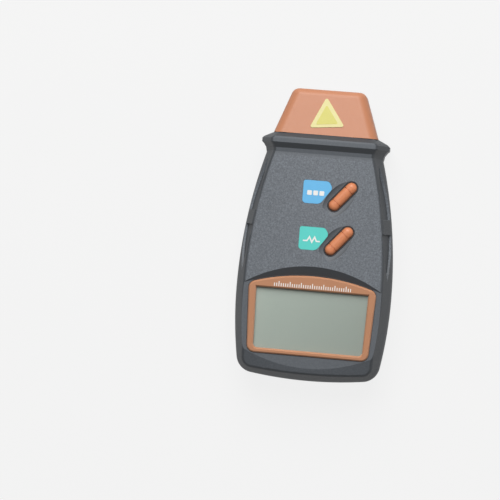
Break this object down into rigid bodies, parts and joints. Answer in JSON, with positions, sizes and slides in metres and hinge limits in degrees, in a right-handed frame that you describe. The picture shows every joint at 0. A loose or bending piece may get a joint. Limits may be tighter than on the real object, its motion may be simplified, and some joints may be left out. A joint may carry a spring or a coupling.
{
  "type": "digital tachometer",
  "caption": "Handheld optical tachometer lying on its back: tapered grey case, orange nose with light window, display, capsule buttons and a sliding battery cover.",
  "frame": {"origin": "on the surface that the back rests on, under the middle of the case", "axes": "+X to the right as seen from the front, +Y toward the nose, +Z out of the display"},
  "size_m": [0.07, 0.131, 0.029],
  "materials": {
    "grey_case": "fine textured grey plastic",
    "orange_cap": "satin orange plastic",
    "orange_trim": "satin orange plastic",
    "orange_key": "smooth orange plastic",
    "dark_window": "dark red clear plastic",
    "clear_window": "clear plastic",
    "black_plastic": "black moulded plastic",
    "brass": "turned",
    "lens": "polished clear plastic",
    "photodiode": "dark epoxy",
    "lcd": "grey green display glass",
    "strip": "conductive rubber",
    "board": "solder mask",
    "chip": "moulded epoxy",
    "tin_can": "plated can",
    "capacitor": "printed sleeve, bare of words",
    "battery_case": "lacquered steel",
    "snap": "moulded vinyl",
    "screw": "zinc plated",
    "lead_red": "insulated lead",
    "lead_black": "insulated lead",
    "plunger": "switch plunger",
    "label_blue": "printed film",
    "label_green": "printed film",
    "marker_yellow": "printed film"
  },
  "bodies": {
    "casing": {"front_shell": "grey_case", "rear_shell": "grey_case", "nose_cap": "orange_cap", "nose_window": "dark_window", "nose_marker": "marker_yellow", "sensor_holder": "black_plastic", "laser_barrel": "brass", "laser_lens": "lens", "receiver_lens": "lens", "photodiode": "photodiode", "display_bezel": "orange_trim", "display_window": "clear_window", "lcd_glass": "lcd", "lcd_frame": "black_plastic", "contact_strips": "strip", "main_board": "board", "controller_chip": "chip", "crystal": "tin_can", "capacitors": "capacitor", "battery": "battery_case", "battery_snap": "snap", "case_screws": "screw", "board_screws": "screw", "battery_lead_red": "lead_red", "battery_lead_black": "lead_black", "laser_lead_red": "lead_red", "laser_lead_black": "lead_black", "mem_switch": "tin_can", "test_switch": "tin_can", "mem_label": "label_blue", "test_label": "label_green"},
    "mem_key": {"mem_button": "orange_key", "mem_plunger": "plunger"},
    "test_key": {"test_button": "orange_key", "test_plunger": "plunger"},
    "cover": {"battery_cover": "grey_case"}
  },
  "joints": [
    {"name": "mem_button_press", "type": "slide", "parent": "casing", "child": "mem_key", "axis": [0, 0, -1], "range_m": [0, 0.0005], "stiffness_N_per_m": 800, "springref_m": -0.0005},
    {"name": "test_button_press", "type": "slide", "parent": "casing", "child": "test_key", "axis": [0, 0, -1], "range_m": [0, 0.0005], "stiffness_N_per_m": 800, "springref_m": -0.0005},
    {"name": "battery_cover_slide", "type": "slide", "parent": "casing", "child": "cover", "axis": [0, -1, 0], "range_m": [0, 0.045]}
  ]
}
